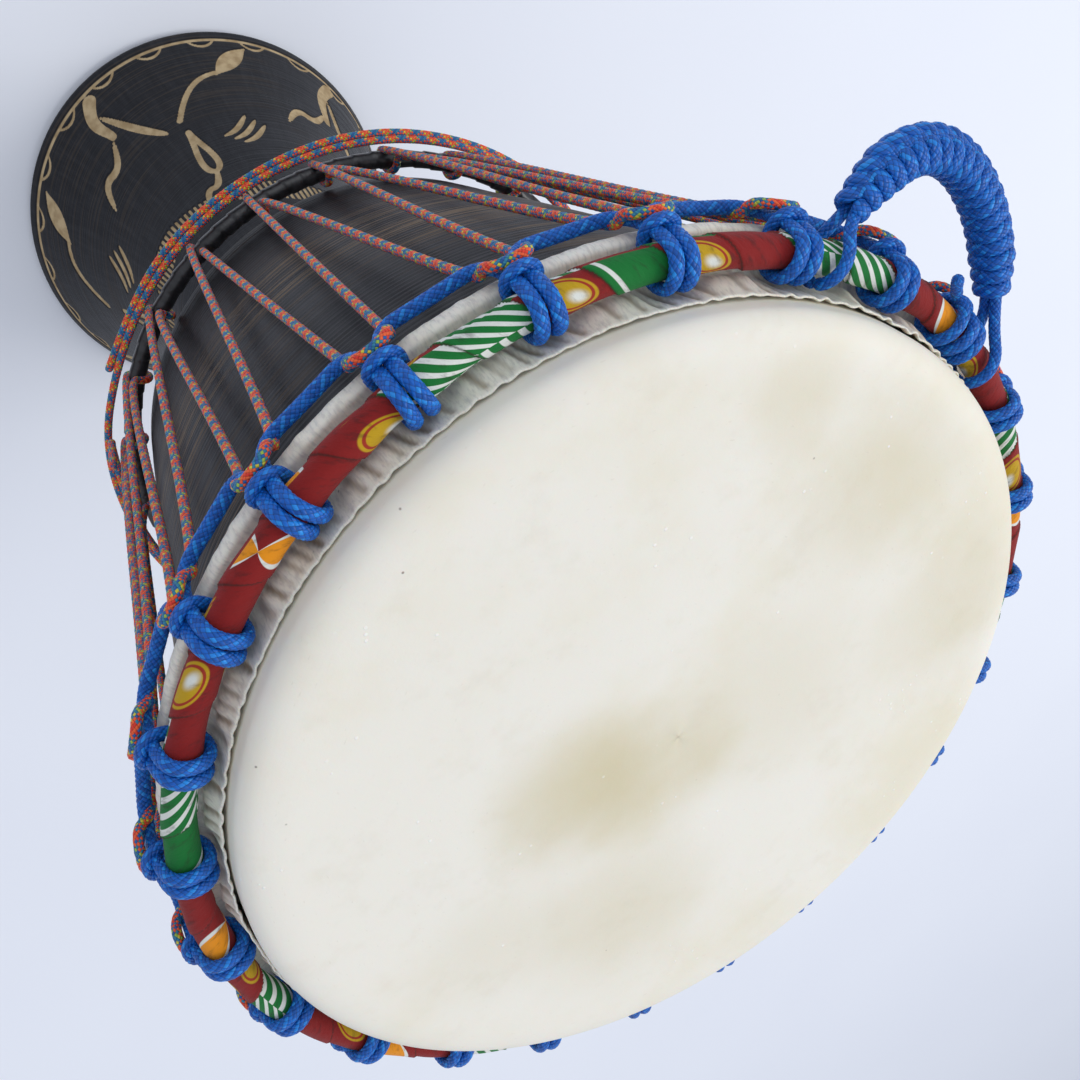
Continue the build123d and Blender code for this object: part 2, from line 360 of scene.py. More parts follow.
class Paint:
    """Short calls that add shader nodes to one material."""

    def __init__(self, name, roughness, **sockets):
        self.material = bpy.data.materials.new(name)
        self.material.use_nodes = True
        self.tree = self.material.node_tree
        self.shader = self.tree.nodes["Principled BSDF"]
        self.put(self.shader.inputs["Roughness"], roughness)
        for key, value in sockets.items():
            self.put(self.shader.inputs[key.replace("_", " ")], value)

    def put(self, socket, value):
        if isinstance(value, bpy.types.NodeSocket):
            self.tree.links.new(value, socket)
        elif isinstance(value, tuple) and len(value) == 3 and socket.type == "RGBA":
            socket.default_value = (*value, 1)
        else:
            socket.default_value = value

    def node(self, kind, **inputs):
        made = self.tree.nodes.new("ShaderNode" + kind)
        for key, value in inputs.items():
            self.put(made.inputs[key.replace("_", " ")], value)
        return made

    def math(self, operation, *values):
        made = self.tree.nodes.new("ShaderNodeMath")
        made.operation = operation
        for socket, value in zip(made.inputs, values):
            self.put(socket, value)
        return made.outputs[0]

    def times(self, first, second):
        return self.math("MULTIPLY", first, second)

    def plus(self, first, second):
        return self.math("ADD", first, second)

    def minus(self, first, second):
        return self.math("SUBTRACT", first, second)

    def over(self, first, second):
        return self.math("DIVIDE", first, second)

    def modulo(self, first, second):
        return self.math("FLOORED_MODULO", first, second)

    def mark(self, name):
        """A value stored on the mesh's points."""
        made = self.node("Attribute")
        made.attribute_name = name
        return made.outputs["Fac"]

    def step(self, value, low, high, out_low=0.0, out_high=1.0):
        made = self.node("MapRange", Value=value, From_Min=low, From_Max=high,
                         To_Min=out_low, To_Max=out_high)
        made.interpolation_type = "SMOOTHSTEP"
        return made.outputs[0]

    def mix(self, share, first, second, blend="MIX"):
        made = self.tree.nodes.new("ShaderNodeMix")
        made.data_type = "RGBA"
        made.blend_type = blend
        self.put(made.inputs[0], share)
        self.put(made.inputs[6], first)
        self.put(made.inputs[7], second)
        return made.outputs[2]

    def bands(self, value, colours):
        """Equal bands of plain colour over 0 to 1."""
        made = self.node("ValToRGB", Fac=value)
        made.color_ramp.interpolation = "CONSTANT"
        stops = made.color_ramp.elements
        for i, colour in enumerate(colours):
            stop = stops[i] if i < 2 else stops.new(i / len(colours))
            stop.position = i / len(colours)
            stop.color = (*colour, 1)
        return made.outputs[0]

    def noise(self, scale, detail=3.0, vector=None, roughness=0.5):
        made = self.node("TexNoise", Scale=scale, Detail=detail, Roughness=roughness)
        if vector is not None:
            self.put(made.inputs["Vector"], vector)
        return made.outputs["Fac"]

    def uv(self):
        parts = self.node("SeparateXYZ", Vector=self.node("UVMap").outputs[0])
        return parts.outputs[0], parts.outputs[1]

    def place(self):
        return self.node("TexCoord").outputs["Object"]

    def vector(self, x, y, z):
        return self.node("CombineXYZ", X=x, Y=y, Z=z).outputs[0]

    def bump(self, height, distance, strength=1.0):
        made = self.node("Bump", Height=height, Distance=distance, Strength=strength)
        normal = self.shader.inputs["Normal"]
        if normal.is_linked:
            self.put(made.inputs["Normal"], normal.links[0].from_socket)
        self.put(normal, made.outputs[0])

    def colour(self, value):
        self.put(self.shader.inputs["Base Color"], value)


def rope_material(name, colours, other_colours, pick, roughness):
    """Braided rope: each strand keeps its own colour as it winds round, with painted shade in the
    hollows between strands.
    """
    paint = Paint(name, roughness, Sheen_Weight=0.03, Sheen_Roughness=0.4, Specular_IOR_Level=0.35)
    u, v = paint.uv()
    turned = paint.times(u, float(CARRIERS))
    along = paint.over(v, pick)
    a = paint.plus(turned, along)
    b = paint.minus(turned, along)
    ia, ib = paint.math("FLOOR", a), paint.math("FLOOR", b)
    fa, fb = paint.minus(a, ia), paint.minus(b, ib)
    odd = paint.modulo(paint.plus(ia, ib), 2.0)
    first = paint.bands(strand_share(paint, ia), colours)
    second = paint.bands(strand_share(paint, ib), other_colours)
    colour = paint.mix(odd, first, second)
    ra = paint.math("SINE", paint.times(fa, math.pi))
    rb = paint.math("SINE", paint.times(fb, math.pi))
    across = paint.plus(paint.times(ra, paint.minus(1.0, odd)), paint.times(rb, odd))
    length = paint.plus(paint.times(rb, paint.minus(1.0, odd)), paint.times(ra, odd))
    height = paint.times(across, paint.plus(0.55, paint.times(length, 0.45)))
    cell = paint.node("TexWhiteNoise", Vector=paint.vector(ia, ib, 0.0)).outputs["Value"]
    # Painted shade: the colour darkens towards black in the hollows between strands, where the braid
    # is low.
    colour = paint.mix(paint.step(height, 0.0, 0.45, 0.6, 0.0), colour, (0.0, 0.0, 0.0))
    colour = paint.mix(paint.times(cell, 0.5), colour, (0.9, 0.9, 0.9), "SOFT_LIGHT")
    fibre = paint.noise(2400.0, 2.0, paint.place())
    colour = paint.mix(paint.step(fibre, 0.35, 0.75, 0.0, 0.35), colour, (0.5, 0.5, 0.5), "OVERLAY")
    paint.colour(colour)
    paint.bump(height, 0.35 * MM, 0.8)
    paint.bump(fibre, 0.1 * MM, 0.4)
    return paint.material


def strand_share(paint, index):
    """A strand's number, wrapped to the carriers, as a share in the middle of its band."""
    wrapped = paint.modulo(index, float(CARRIERS))
    return paint.over(paint.plus(wrapped, 0.5), float(CARRIERS))


BLUES = ((0.001, 0.075, 0.36), (0.002, 0.110, 0.50), (0.004, 0.150, 0.60), (0.002, 0.090, 0.44),
         (0.002, 0.115, 0.52), (0.001, 0.075, 0.36), (0.010, 0.21, 0.70), (0.002, 0.100, 0.48))
CORAL, SCARLET, YELLOW = (0.95, 0.115, 0.030), (0.78, 0.040, 0.020), (0.70, 0.60, 0.05)
TEAL, NAVY, LIME = (0.025, 0.20, 0.33), (0.015, 0.10, 0.34), (0.34, 0.50, 0.06)
LACES = (CORAL, CORAL, SCARLET, CORAL, TEAL, NAVY, TEAL, LIME)
LACES_BACK = (NAVY, TEAL, NAVY, TEAL, YELLOW, CORAL, SCARLET, CORAL)


def skin_material():
    """Rawhide: pale cream, mottled, with a few stains, pores and hair specks, and painted shade in the
    pleat valleys.
    """
    paint = Paint("goat_skin", 0.52, Subsurface_Weight=0.12, Subsurface_Scale=0.004,
                  Specular_IOR_Level=0.35)
    place = paint.place()
    u, v = paint.uv()
    cloud = paint.noise(7.0, 5.0, place, 0.6)
    colour = paint.mix(paint.step(cloud, 0.42, 0.68), (0.84, 0.81, 0.72), (0.79, 0.74, 0.59))
    for x, y, size, strength in STAINS:
        spread = paint.plus(near(paint, place, x, y, size), paint.times(cloud, 0.9))
        stain = paint.step(spread, 0.62, 1.50, 0.0, strength)
        colour = paint.mix(stain, colour, (0.58, 0.50, 0.28))
    blotch = paint.noise(38.0, 4.0, place, 0.65)
    colour = paint.mix(paint.step(blotch, 0.52, 0.75, 0.0, 0.16), colour, (0.60, 0.53, 0.38))
    specks = paint.node("TexVoronoi", Vector=place, Scale=95.0)
    dark = paint.times(paint.step(specks.outputs["Distance"], 0.06, 0.015),
                       paint.step(paint.noise(23.0, 1.0, place), 0.62, 0.68))
    colour = paint.mix(paint.times(dark, 0.75), colour, (0.10, 0.07, 0.04))
    flakes = paint.node("TexVoronoi", Vector=place, Scale=210.0)
    pale = paint.times(paint.step(flakes.outputs["Distance"], 0.16, 0.08),
                       paint.step(paint.noise(31.0, 2.0, place), 0.58, 0.66))
    colour = paint.mix(paint.times(pale, 0.8), colour, (0.93, 0.92, 0.88))
    scuff = paint.noise(1.0, 2.0, paint.vector(paint.times(v, 0.9), paint.times(u, 240.0), 0.0))
    colour = paint.mix(paint.step(scuff, 0.66, 0.78, 0.0, 0.22), colour, (0.55, 0.50, 0.40))
    # Painted shade: a brown shadow in the pleat valleys of the turned-back skin, from the fold mark.
    colour = paint.mix(paint.times(paint.mark("fold"), 0.85), colour, (0.30, 0.23, 0.15))
    combed = paint.vector(paint.times(u, 900.0), paint.times(v, 0.22), 0.0)
    hair = paint.noise(1.0, 3.0, combed, 0.6)
    folded = paint.step(v, HEAD_RADIUS + 24.0, HEAD_RADIUS + 40.0)
    haired = paint.times(folded, paint.step(hair, 0.42, 0.70, 0.0, 0.45))
    colour = paint.mix(haired, colour, (0.42, 0.40, 0.38))
    paint.colour(colour)
    pores = paint.noise(900.0, 3.0, place, 0.7)
    paint.bump(pores, 0.12 * MM, 0.35)
    paint.bump(blotch, 0.6 * MM, 0.3)
    paint.bump(pale, 0.3 * MM, 0.5)
    return paint.material


STAINS = ((42, -16, 42, 0.5), (14, 8, 40, 0.36), (62, 58, 52, 0.34), (-40, 20, 56, 0.24),
          (-108, -30, 46, 0.36), (-98, -86, 26, 0.26), (-110, 50, 46, 0.3), (100, 20, 40, 0.2))


def near(paint, place, x, y, size):
    """1 at a point of the head, falling to 0 at size millimetres from it."""
    offset = paint.node("VectorMath")
    offset.operation = "DISTANCE"
    flat = paint.node("SeparateXYZ", Vector=place)
    paint.put(offset.inputs[0], paint.vector(flat.outputs[0], flat.outputs[1], 0.0))
    offset.inputs[1].default_value = (x * MM, y * MM, 0.0)
    return paint.step(offset.outputs["Value"], size * MM * 1.6, 0.0)


def wood_material():
    """Black-stained wood with brown tool marks round it, and bare tan where it's carved."""
    paint = Paint("stained_wood", 0.5, Specular_IOR_Level=0.17)
    u, v = paint.uv()
    turning = paint.vector(paint.times(u, 7.0), paint.times(v, 0.55), 0.0)
    marks = paint.noise(1.0, 5.0, turning, 0.62)
    upright = paint.vector(paint.times(u, 160.0), paint.times(v, 0.035), 3.0)
    grain = paint.noise(1.0, 4.0, upright, 0.6)
    patches = paint.noise(5.0, 3.0, paint.place())
    band = paint.times(paint.step(v, 370.0, 410.0), paint.step(v, 580.0, 560.0))
    worn = paint.times(paint.step(marks, 0.525, 0.575), paint.step(patches, 0.38, 0.52))
    worn = paint.times(worn, paint.plus(0.12, paint.times(band, 0.88)))
    colour = paint.mix(paint.step(grain, 0.35, 0.75),
                       (0.0055, 0.006, 0.0085), (0.014, 0.0145, 0.018))
    colour = paint.mix(paint.times(worn, 0.85), colour, (0.20, 0.14, 0.085))
    carved = paint.mark("carved")
    bare = paint.mix(paint.step(paint.noise(160.0, 4.0, paint.place()), 0.3, 0.7),
                     (0.34, 0.24, 0.125), (0.50, 0.38, 0.22))
    colour = paint.mix(paint.step(carved, 0.3, 0.7), colour, bare)
    inner = paint.mark("inside")
    raw = paint.mix(paint.step(grain, 0.3, 0.7), (0.16, 0.09, 0.04), (0.27, 0.165, 0.08))
    colour = paint.mix(inner, colour, raw)
    paint.colour(colour)
    worked = paint.plus(marks, paint.times(carved, 0.6))
    paint.put(paint.shader.inputs["Roughness"], paint.step(worked, 0.3, 1.0, 0.34, 0.75))
    paint.bump(marks, 0.5 * MM, 0.5)
    paint.bump(grain, 0.25 * MM, 0.35)
    return paint.material


CLOTH_TURNS = 48
CLOTH_KINDS = 24
RED_OVALS, GREEN_STRIPES, ORANGE_LEAF = (1, 0, 0), (0, 1, 0), (0, 0, 1)
PLAIN_RED, PLAIN_GREEN = (0, 0, 0), (1, 1, 0)
CLOTH_ORDER = (
    PLAIN_RED, RED_OVALS, ORANGE_LEAF, PLAIN_RED, GREEN_STRIPES, GREEN_STRIPES,
    PLAIN_RED, RED_OVALS, PLAIN_GREEN, RED_OVALS, GREEN_STRIPES, GREEN_STRIPES,
    RED_OVALS, PLAIN_RED, ORANGE_LEAF, PLAIN_RED, RED_OVALS, PLAIN_RED,
    GREEN_STRIPES, PLAIN_GREEN, PLAIN_RED, ORANGE_LEAF, RED_OVALS, GREEN_STRIPES,
)


def cloth_material():
    """Printed cotton strips wound slantwise: ovals, leaves and curved stripes, with painted shade at
    the laps and in the creases.
    """
    paint = Paint("printed_cotton", 0.75, Sheen_Weight=0.06, Sheen_Roughness=0.5,
                  Specular_IOR_Level=0.25)
    u, v = paint.uv()
    pitch = 2 * math.pi * CROWN_RADIUS / CLOTH_TURNS
    turn = paint.plus(paint.over(v, pitch), u)
    index = paint.math("FLOOR", turn)
    share = paint.minus(turn, index)
    p = paint.times(paint.minus(share, 0.5), pitch)
    chance = paint.node("TexWhiteNoise", Vector=paint.vector(index, 0.0, 0.0)).outputs["Value"]
    shifted = paint.plus(paint.times(u, 36.0), paint.times(chance, 18.0))
    q = paint.minus(paint.modulo(shifted, 18.0), 9.0)
    kinds = float(CLOTH_KINDS)
    kind_at = paint.over(paint.plus(paint.modulo(index, kinds), 0.5), kinds)
    kind = paint.node("SeparateColor", Color=paint.bands(kind_at, CLOTH_ORDER)).outputs
    red, green, white = (0.25, 0.010, 0.009), (0.004, 0.17, 0.028), (0.76, 0.78, 0.72)
    oval = length_of(paint, p, 8.5, q, 6.5)
    centre = length_of(paint, paint.plus(p, 1.5), 4.2, paint.minus(q, 1.5), 3.2)
    ovals = paint.mix(paint.step(oval, 1.0, 0.93), red, (0.54, 0.33, 0.008))
    ovals = paint.mix(paint.step(centre, 1.0, 0.2), ovals, white)
    rim = paint.times(paint.step(oval, 0.70, 0.74), paint.step(oval, 0.86, 0.82))
    ovals = paint.mix(rim, ovals, (0.36, 0.03, 0.012))
    curve = paint.plus(paint.times(p, 0.16), paint.times(paint.times(q, q), 0.008))
    wave = paint.math("SINE", paint.times(paint.plus(curve, paint.times(q, 0.085)), 2 * math.pi))
    stripes = paint.mix(paint.step(wave, 0.15, 0.45), green, white)
    leaf_half = paint.minus(6.2, paint.times(paint.times(q, q), 0.075))
    leaf = paint.over(paint.math("ABSOLUTE", p), paint.math("MAXIMUM", leaf_half, 0.05))
    leaves = paint.mix(paint.step(leaf, 1.28, 1.2), red, white)
    leaves = paint.mix(paint.step(leaf, 0.98, 0.9), leaves, (0.84, 0.30, 0.006))
    pinstripe = paint.math("ABSOLUTE", paint.minus(share, 0.84))
    plain_green = paint.mix(paint.step(pinstripe, 0.045, 0.03), green, white)
    both = paint.times(kind[0], kind[1])
    colour = paint.mix(kind[0], red, ovals)
    colour = paint.mix(kind[1], colour, stripes)
    colour = paint.mix(kind[2], colour, leaves)
    colour = paint.mix(both, colour, plain_green)
    # Painted shade: a dark line along each strip's edge, where one turn laps over the last.
    lap = paint.math("MINIMUM", share, paint.minus(1.0, share))
    colour = paint.mix(paint.step(lap, 0.03, 0.0, 0.0, 0.7), colour, (0.03, 0.015, 0.01))
    wrung = paint.vector(paint.times(turn, 7.0), paint.times(u, 5.0), index)
    creases = paint.noise(1.0, 4.0, wrung, 0.6)
    # Painted shade: darker in the wrinkle creases, where the crease noise and the bump are low.
    colour = paint.mix(paint.step(creases, 0.30, 0.48, 0.45, 0.0), colour, (0.02, 0.01, 0.01))
    paint.colour(colour)
    threads = paint.times(paint.math("SINE", paint.times(v, 14.0)),
                          paint.math("SINE", paint.times(u, 500.0)))
    paint.bump(creases, 0.9 * MM, 0.6)
    paint.bump(threads, 0.08 * MM, 0.5)
    return paint.material


def length_of(paint, p, p_size, q, q_size):
    """Distance from the middle of an oval, 1 on its edge."""
    ps, qs = paint.over(p, p_size), paint.over(q, q_size)
    return paint.math("SQRT", paint.plus(paint.times(ps, ps), paint.times(qs, qs)))


def black_cloth_material():
    paint = Paint("black_cloth", 0.32, Sheen_Weight=0.15, Specular_IOR_Level=0.6)
    u, v = paint.uv()
    folds = paint.noise(1.0, 3.0, paint.vector(paint.times(v, 0.35), paint.times(u, 3.0), 0.0))
    paint.colour(paint.mix(paint.step(folds, 0.35, 0.7),
                           (0.004, 0.004, 0.005), (0.020, 0.020, 0.023)))
    paint.bump(folds, 0.6 * MM, 0.6)
    return paint.material


def steel_material():
    paint = Paint("steel_rod", 0.38, Metallic=1.0)
    rust = paint.noise(60.0, 5.0, paint.place(), 0.7)
    paint.colour(paint.mix(paint.step(rust, 0.55, 0.72), (0.42, 0.42, 0.43), (0.20, 0.11, 0.06)))
    paint.bump(rust, 0.2 * MM, 0.3)
    return paint.material


# ---------------------------------------------------------------- skin

def skin_profile():
    """(radius, height) from the head's middle, round the flesh hoop, to the trimmed lip."""
    half = SKIN / 2
    wall = HEAD_RADIUS - half
    fold = HOOP_ROD + half
    back = wall + SKIN
    lip = HEIGHT - TRIM_DROP
    top = [(r, 0, HEIGHT - half) for r in np.linspace(0, 142, 40)]
    corners = [
        (142, 0, HEIGHT - half), (wall, 0, HEIGHT - half), (wall, 0, HEIGHT - 17),
        (wall, 0, HOOP_HEIGHT),
        (wall, 0, HOOP_HEIGHT - fold), (HOOP_RADIUS, 0, HOOP_HEIGHT - fold - 0.3),
        (HOOP_RADIUS + fold, 0, HOOP_HEIGHT - fold), (HOOP_RADIUS + fold, 0, HOOP_HEIGHT + fold),
        (HOOP_RADIUS, 0, HOOP_HEIGHT + fold), (back + 1, 0, HOOP_HEIGHT + fold),
        (back, 0, CROWN_HEIGHT), (back + 0.4, 0, lip - 4), (back + TRIM_FLARE, 0, lip),
        (back + TRIM_FLARE - 0.2, 0, lip + 0.9),
        (back + TRIM_FLARE - 1.0, 0, lip + 0.7), (back + TRIM_FLARE - 1.0, 0, lip - 2),
    ]
    return np.vstack([top, spline_line(corners, 0.7)[1:]])


def skin():
    """The head, with pleats where the skin is led back up and a wavy trimmed edge."""
    profile = skin_profile()
    angle = np.linspace(0, 2 * np.pi, SKIN_SEGMENTS + 1)[:-1]
    r, z = profile[:, 0][:, None], profile[:, 2][:, None]
    run = distance_along(profile)
    past_hoop = run > run[np.argmax(profile[:, 0])]
    rise = HEIGHT - TRIM_DROP - HOOP_HEIGHT - HOOP_ROD
    climb = np.clip((profile[:, 2] - HOOP_HEIGHT - HOOP_ROD) / rise, 0, 1)
    cuff = np.where(past_hoop, climb, 0)[:, None]
    from_rod = np.hypot(profile[:, 0] - HOOP_RADIUS, profile[:, 2] - HOOP_HEIGHT) - HOOP_ROD
    tube_part = np.exp(-(from_rod / 1.2) ** 2)[:, None]
    slanted = (angle + 0.035 * cuff) % (2 * np.pi)
    pleats = np.interp(slanted, angle, wobble(angle, PLEAT, HEAD_RADIUS, 4), period=2 * np.pi)
    ruffle = wobble(angle, 6.2, HEAD_RADIUS, 3)
    from_loose = (angle - math.radians(LOOSE_BEARING) + np.pi) % (2 * np.pi) - np.pi
    loose = 0.26 + 1.0 * np.exp(-(from_loose / 0.45) ** 2)
    from_knot = np.abs((np.degrees(angle) - KNOT_BEARING + BAY / 2) % BAY - BAY / 2)
    for foot in (LEFT_FOOT_BEARING, RIGHT_FOOT_BEARING):
        from_knot = np.minimum(from_knot, np.abs(np.degrees(angle) - foot))
    between = np.clip((from_knot - 2.4) / 3.2, 0, 1)
    belly = np.exp(-((profile[:, 2] - CROWN_HEIGHT + 1) / 6.5) ** 2)[:, None]
    belly = belly * np.minimum(cuff * 5, 1)
    lumps = wobble(angle, 16.0, HOOP_RADIUS, 6)
    creases = wobble(angle, 6.0, HOOP_RADIUS, 6)
    r = (r + belly * BELLY * between ** 2 * (3 - 2 * between)
         + np.minimum(cuff * 3, 1) * (1 - 0.8 * cuff ** 5) * 0.6 * pleats)
    r = (r + cuff ** 6 * loose * np.clip(ruffle, -0.7, 2)
         + tube_part * np.clip(0.4 * lumps + 0.2 * creases, -0.2, 1))
    z = z + cuff ** 3 * 0.6 * loose * np.roll(ruffle, 5) + tube_part * 0.2 * np.clip(lumps, 0, 2)
    # Painted shade: fold is how deep each pleat's valley is, and the skin material paints a brown
    # shadow there.
    fold = np.clip(-0.9 * pleats, 0, 1) * np.minimum(cuff * 4, 1)
    fold = fold * np.clip((0.97 - cuff) * 12, 0, 1)
    bow = 0.12 * np.sin(3 * angle + 1) * np.clip(1 - r / 150, 0, 1)
    points = np.stack([r * np.cos(angle), r * np.sin(angle), z + bow], -1)
    u = np.linspace(0, 1, SKIN_SEGMENTS + 1)
    piece = grid_object("skin", points, u, run, False, True, fold=fold)
    finish_piece(piece, skin_material(), "drum", "goat_skin", "drum_head")
    return piece


# ---------------------------------------------------------------- wrapped rings

def wound_ring(name, radius, height, section, turns, lap, material, slot, node, segments, columns):
    """A strip wound slantwise round a ring, with a small step where each turn laps the last."""
    angle = np.linspace(0, 2 * np.pi, segments + 1)
    u = np.linspace(0, 1, columns + 1)
    turn = (angle[:-1, None] / (2 * np.pi) * turns + u[None, :-1]) % 1
    swell = wobble(angle[:-1], 30.0, radius, 5)[:, None] * 0.25
    reach = section + lap * (turn - 0.6) + swell * lap
    section_angle = 2 * np.pi * u[None, :-1]
    r = radius + reach * np.cos(section_angle)
    z = height + reach * np.sin(section_angle)
    a = angle[:-1, None]
    points = np.stack([r * np.cos(a), r * np.sin(a), z], -1)
    piece = grid_object(name, points, u, angle * radius, True, True)
    return finish_piece(piece, material, "drum", slot, node)


# ---------------------------------------------------------------- ropes

def crown_corner(bearing, out, drop, side):
    return spot(bearing, CROWN_RADIUS + out, CROWN_HEIGHT - drop, side)


def upper_rope_route():
    """Cow hitches on the crown ring: two strands over it, crossed outside by a bar."""
    reach = math.hypot(BAR_OUT, BAR_DROP)
    first = -math.degrees(math.atan2(BAR_DROP, BAR_OUT))
    first = first - math.degrees(math.acos(HITCH_LOOP / reach))
    corners = around((CROWN_RADIUS, CROWN_HEIGHT), HITCH_LOOP, (first,) + HITCH_TANGENTS)
    narrowing = (HITCH_SPREAD - STRAND_INSET) / (len(corners) - 1)
    route = []
    for i in range(LACING_COUNT):
        knot = KNOT_BEARING + BAY * i
        skew, slide = rng.uniform(-1.1, 1.1), rng.uniform(-0.5, 0.5)
        half = [(CROWN_RADIUS + BAR_OUT, BAR_HALF, CROWN_HEIGHT - BAR_DROP)]
        half += [(r, HITCH_SPREAD - narrowing * k, z) for k, (r, z) in enumerate(corners)]
        half += [(CROWN_RADIUS + FESTOON_OUT, STRAND_INSET, CROWN_HEIGHT - FESTOON_DROP)]
        for side, run in ((-1, half[::-1]), (1, half)):
            for r, s, z in run:
                lean = skew * (CROWN_RADIUS - r) / BAR_OUT
                route.append(spot(knot, r, z, side * s + lean + slide))
        middle = (CROWN_RADIUS + FESTOON_OUT) * math.cos(math.radians(BAY / 2))
        sag = CROWN_HEIGHT - FESTOON_DROP + rng.uniform(-0.3, 0.5)
        route.append(spot(knot + BAY / 2, middle, sag))
    return route


def tension_rope_route():
    """U over the blue rope, down, round the bottom ring, up to the next U."""
    hook = (CROWN_RADIUS + HOOK_OUT, CROWN_HEIGHT - HOOK_DROP)
    loop = BOTTOM_WRAPPED + LACE + 0.05
    rise = hook[1] - BOTTOM_HEIGHT
    outer_lean = math.degrees(math.atan2(hook[0] - BOTTOM_RADIUS - loop, rise))
    inner_lean = math.degrees(math.atan2(hook[0] - BOTTOM_RADIUS + loop, rise))
    tangents = (-outer_lean, -60, -120, -180 - inner_lean)
    corners = around((BOTTOM_RADIUS, BOTTOM_HEIGHT), loop, tangents)
    route = []
    for i in range(LACING_COUNT):
        knot = KNOT_BEARING - BAY * i
        route += [
            crown_corner(knot, U_OUT, U_DROP, -U_HALF),
            crown_corner(knot, SHOULDER_OUT, SHOULDER_DROP, -SHOULDER_SIDE),
            crown_corner(knot, HOOK_OUT, HOOK_DROP, -HOOK_SIDE),
        ]
        route += [spot(knot + V_SHIFT, r, z, side) for (r, z), side in zip(corners, V_SIDES)]
        route.append(spot(knot + V_SHIFT, BOTTOM_RADIUS - 3, BOTTOM_HEIGHT + 7.6, -2.4))
        route.append(spot(knot + V_SHIFT, BOTTOM_RADIUS + 7, BOTTOM_HEIGHT + 8.2, -2.5))
        route += [
            crown_corner(knot - BAY, HOOK_OUT, HOOK_DROP, HOOK_SIDE),
            crown_corner(knot - BAY, SHOULDER_OUT, SHOULDER_DROP, SHOULDER_SIDE),
            crown_corner(knot - BAY, U_OUT, U_DROP, U_HALF),
        ]
    return route


def winding_route():
    """The spare tension rope: a tail, then two turns below and outside the bottom ring."""
    route = []
    for off, rise in WINDING_TURNS:
        for i in range(LACING_COUNT):
            reach = (BOTTOM_RADIUS + off) / math.cos(math.radians(BAY / 2)) + rng.uniform(-0.4, 0.4)
            height = BOTTOM_HEIGHT + rise + rng.uniform(-0.4, 0.4)
            route.append(spot(WINDING_START + BAY * i, reach, height))
    out = BOTTOM_RADIUS + WINDING_TURNS[0][0] + 2.0
    lead = spot(WINDING_START, out, route[0][2] + TAIL_LEAD, -TAIL_LEAD)
    tail = spot(WINDING_START, out + TAIL_OUT, route[0][2] + TAIL_RISE, -TAIL_LEAD)
    return [tail, lead] + route


def tail_route():
    """The blue rope's cut end, lying out along the wrapped ring from under its last hitch."""
    lift = CROWN_HEIGHT + BLUE
    out = CROWN_RADIUS + HITCH_LOOP
    return [
        spot(LASHING_KNOT_BEARING, out + 0.4, lift, LASHING_SIDE + 2.1 * BLUE),
        spot(LASHING_KNOT_BEARING, out - 0.2, lift + BLUE, LASHING_SIDE + 4.5 * BLUE),
        spot(LASHING_KNOT_BEARING, out + BLUE, lift + 3 * BLUE, LASHING_SIDE + 8 * BLUE),
    ]


def lashing_line():
    """Turns of blue rope round the wrapped ring, beside the handle's right foot."""
    bearing = LASHING_KNOT_BEARING + math.degrees(LASHING_SIDE / CROWN_RADIUS)
    angle = np.linspace(0, 2 * np.pi, 120)
    return np.array([
        spot(bearing, CROWN_RADIUS + HITCH_LOOP * math.cos(a), CROWN_HEIGHT + HITCH_LOOP * math.sin(a))
        for a in angle
    ])


# ---------------------------------------------------------------- handle

def handle_axes():
    """Origin, and the directions left to right foot, out along the arch and across it."""
    joint = frame["joints"][0]
    origin = np.array(joint["pos_m"]) / MM
    along = unit(np.array(joint["axis"], float))
    level = np.array([-along[1], along[0], 0.0]) * -1
    level = level * (1 if level @ origin > 0 else -1)
    rise = math.radians(REST_ELEVATION)
    out = level * math.cos(rise) + np.array([0, 0, math.sin(rise)])
    return origin, along, out, np.cross(along, out)


def in_handle(points):
    origin, along, out, across = handle_axes()
    return [origin + along * x + out * y + across * z for x, y, z in points]


def in_handle_direction(tangents):
    """The arch's outward directions in the CAD frame, from its tangents in its own plane."""
    _, along, out, _ = handle_axes()
    return along[None] * -tangents[:, 1:2] + out[None] * tangents[:, :1]


def arch_half():
    return CROWN_RADIUS * math.sin(math.radians((LEFT_FOOT_BEARING - RIGHT_FOOT_BEARING) / 2))


def arch_corners():
    step = (180 - 2 * ARCH_END_ANGLE) / (ARCH_STEPS - 1)
    corners = []
    for i in range(ARCH_STEPS):
        a = math.radians(180 - ARCH_END_ANGLE - step * i)
        along = arch_half() * math.cos(a) + ARCH_SKEW * math.sin(a) ** 2
        corners.append((along, ARCH_HEIGHT * math.sin(a)))
    return corners


def core_route(side):
    """One core strand, with its half of the eye round the crown ring at each end."""
    reach = math.hypot(EYE_EXIT, CORE_HALF)
    exit_angle = math.degrees(math.atan2(CORE_HALF, EYE_EXIT))
    exit_angle = exit_angle + math.degrees(math.acos(EYE_LOOP / reach))
    eye = around((0, 0), EYE_LOOP, (180, (180 + exit_angle) / 2, exit_angle))
    a = arch_half()
    left = [(-a, -EYE_LOOP, 0)] + [(-a, y, side * z) for y, z in eye]
    right = [(-x, y, z) for x, y, z in reversed(left)]
    plane = [(-a, EYE_EXIT), *arch_corners(), (a, EYE_EXIT)]
    arch = [(x, y, side * CORE_HALF) for x, y in plane]
    return in_handle(left + arch + right)


